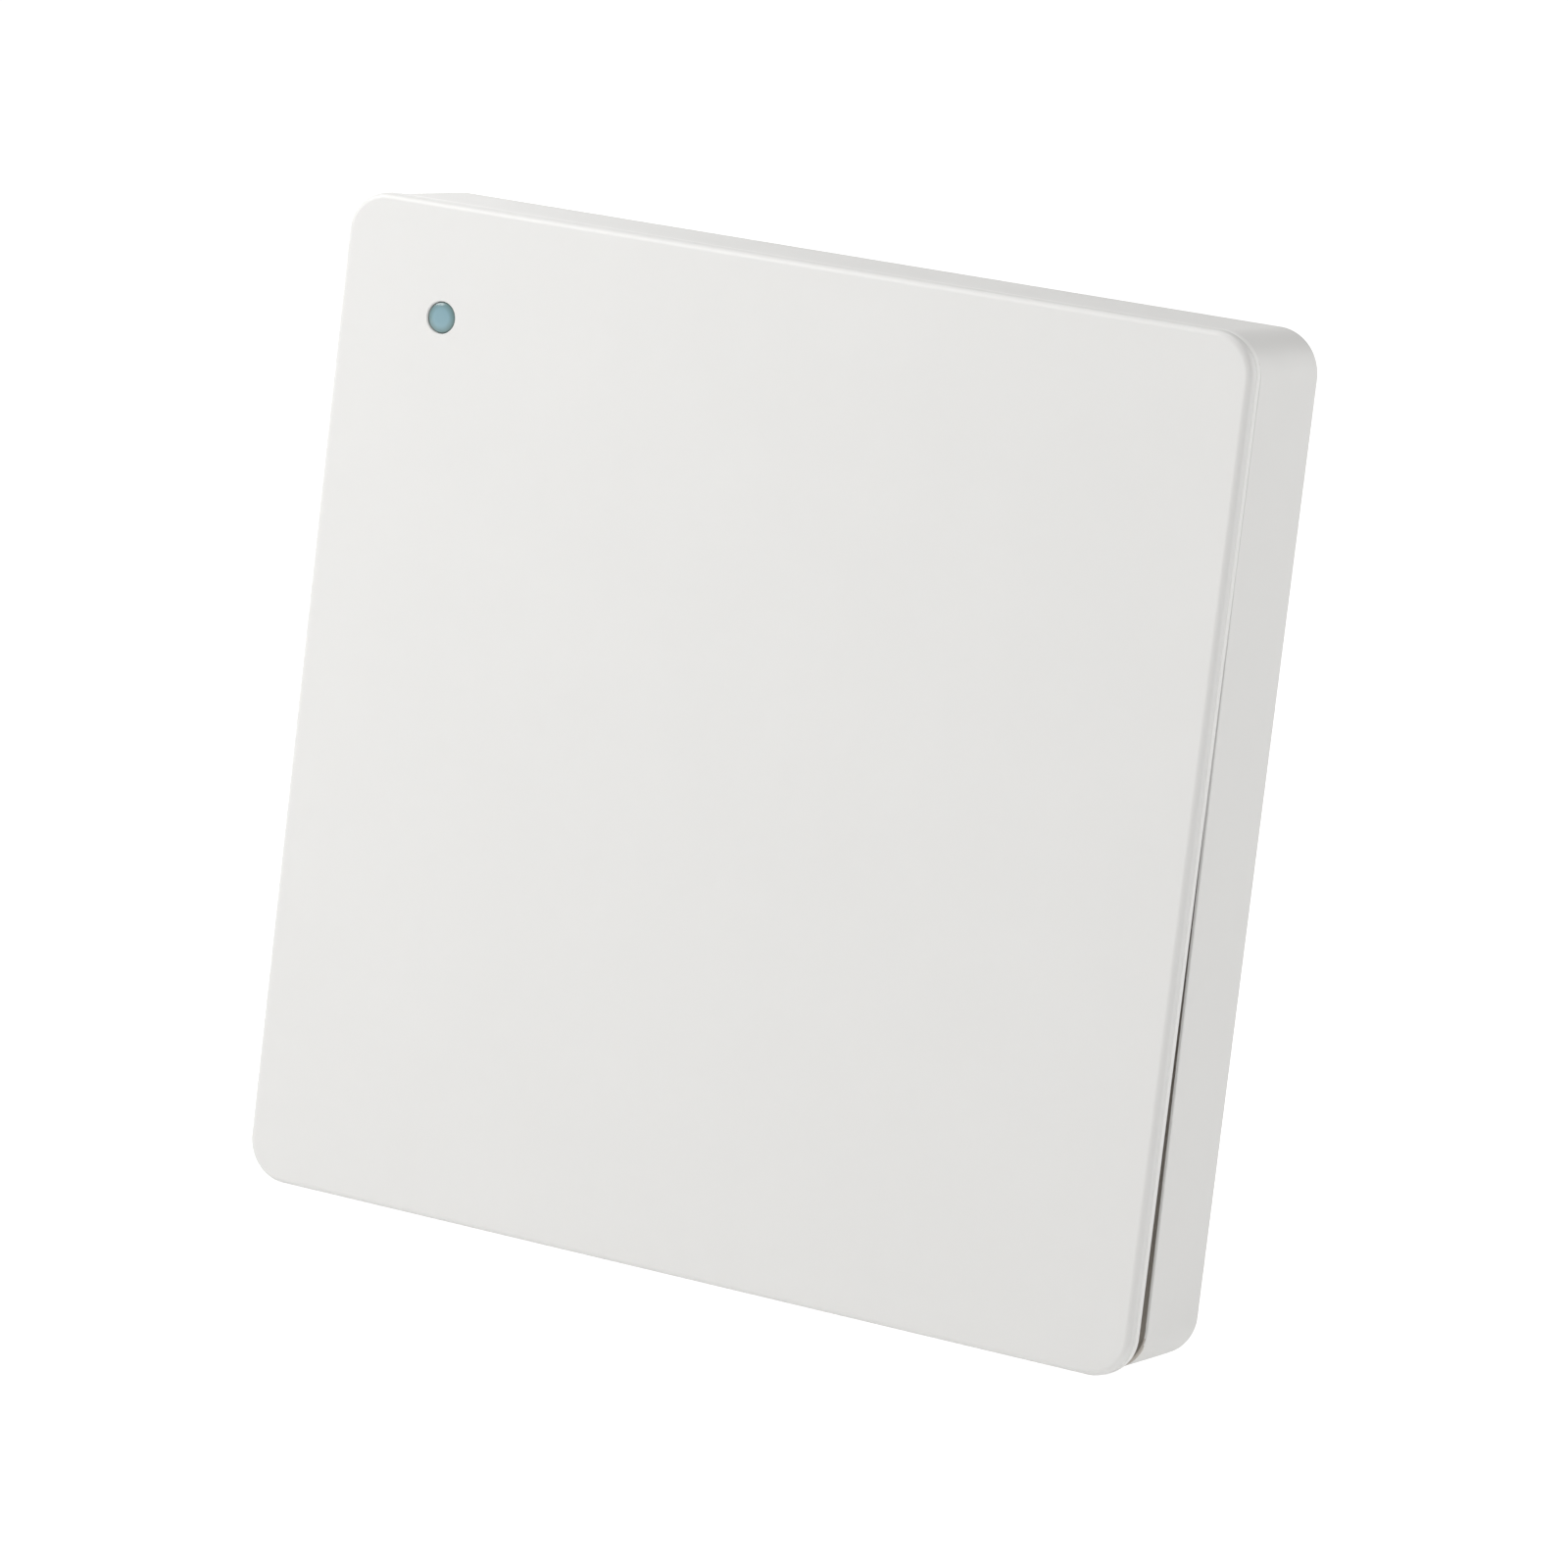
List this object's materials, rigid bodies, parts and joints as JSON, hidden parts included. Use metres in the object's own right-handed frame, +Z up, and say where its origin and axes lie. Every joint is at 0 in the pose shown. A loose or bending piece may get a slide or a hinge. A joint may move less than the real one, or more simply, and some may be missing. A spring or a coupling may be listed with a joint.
{
  "type": "wireless rocker wall panel",
  "caption": "Square battery-powered wireless wall panel: a full-face rocker with a small indicator lens, pivoting near its top edge on a shallow clip-on housing.",
  "frame": {"origin": "centre of the flat back of the wall plate, where it meets the wall", "axes": "+X to the viewer's right, +Z up, and +Y into the wall, so the front face looks along -Y"},
  "size_m": [0.086, 0.013, 0.086],
  "materials": {
    "cover_white": "satin, very fine moulded texture",
    "carrier_white": "satin",
    "shell_white": "satin, very fine moulded texture",
    "plate_white": "matt",
    "lens_teal": "glossy, translucent",
    "clear_pipe": "glossy, clear",
    "foam_grey": "matt foam tape with a smooth skin",
    "board_green": "satin solder mask",
    "black_plastic": "satin",
    "steel": "bright, lightly brushed",
    "spring_steel": "plain wire and strip",
    "gold_wire": "bright plated wire",
    "silicone": "matt",
    "led_yellow": "glossy",
    "tantalum": "matt moulded"
  },
  "bodies": {
    "housing": {"housing_shell": "shell_white", "light_pipe": "clear_pipe", "return_spring_left": "spring_steel", "return_spring_right": "spring_steel", "bumper_left": "silicone", "bumper_right": "silicone", "wall_plate": "plate_white", "adhesive_pad_upper": "foam_grey", "adhesive_pad_lower": "foam_grey", "circuit_board": "board_green", "coin_cell": "steel", "battery_holder": "black_plastic", "battery_contact_positive": "spring_steel", "battery_contact_negative": "spring_steel", "radio_shield": "steel", "radio_chip": "black_plastic", "clock_crystal": "steel", "bulk_capacitor_1": "tantalum", "bulk_capacitor_2": "tantalum", "antenna_coil": "gold_wire", "status_led": "led_yellow", "board_screw_1": "steel", "board_screw_2": "steel", "board_screw_3": "steel", "board_screw_4": "steel", "key_switch_body": "black_plastic", "key_switch_frame": "steel", "key_switch_dome": "spring_steel", "pair_switch_body": "black_plastic", "pair_switch_frame": "steel"},
    "rocker": {"rocker_cover": "cover_white", "rocker_frame": "carrier_white", "indicator_lens": "lens_teal"},
    "key_plunger": {"key_plunger": "black_plastic"},
    "pair_button": {"pair_button": "black_plastic"}
  },
  "joints": [
    {"name": "rocker_hinge", "type": "hinge", "parent": "housing", "child": "rocker", "pos_m": [0, -0.00995, 0.023], "axis": [1, 0, 0], "range_deg": [0, 1.3], "stiffness_Nm_per_rad": 1, "springref_deg": -2.86, "deforming": ["return_spring_left", "return_spring_right"]},
    {"name": "key_plunger_slide", "type": "slide", "parent": "housing", "child": "key_plunger", "axis": [0, 1, 0], "range_m": [0, 0.0007], "deforming": ["key_switch_dome"]},
    {"name": "pair_button_slide", "type": "slide", "parent": "housing", "child": "pair_button", "axis": [0, -1, 0], "range_m": [0, 0.00025], "stiffness_N_per_m": 800, "springref_m": -0.0005}
  ],
  "couplings": [
    {"joint": "key_plunger_slide", "follows": "rocker_hinge", "m_per_rad": 0.03}
  ]
}
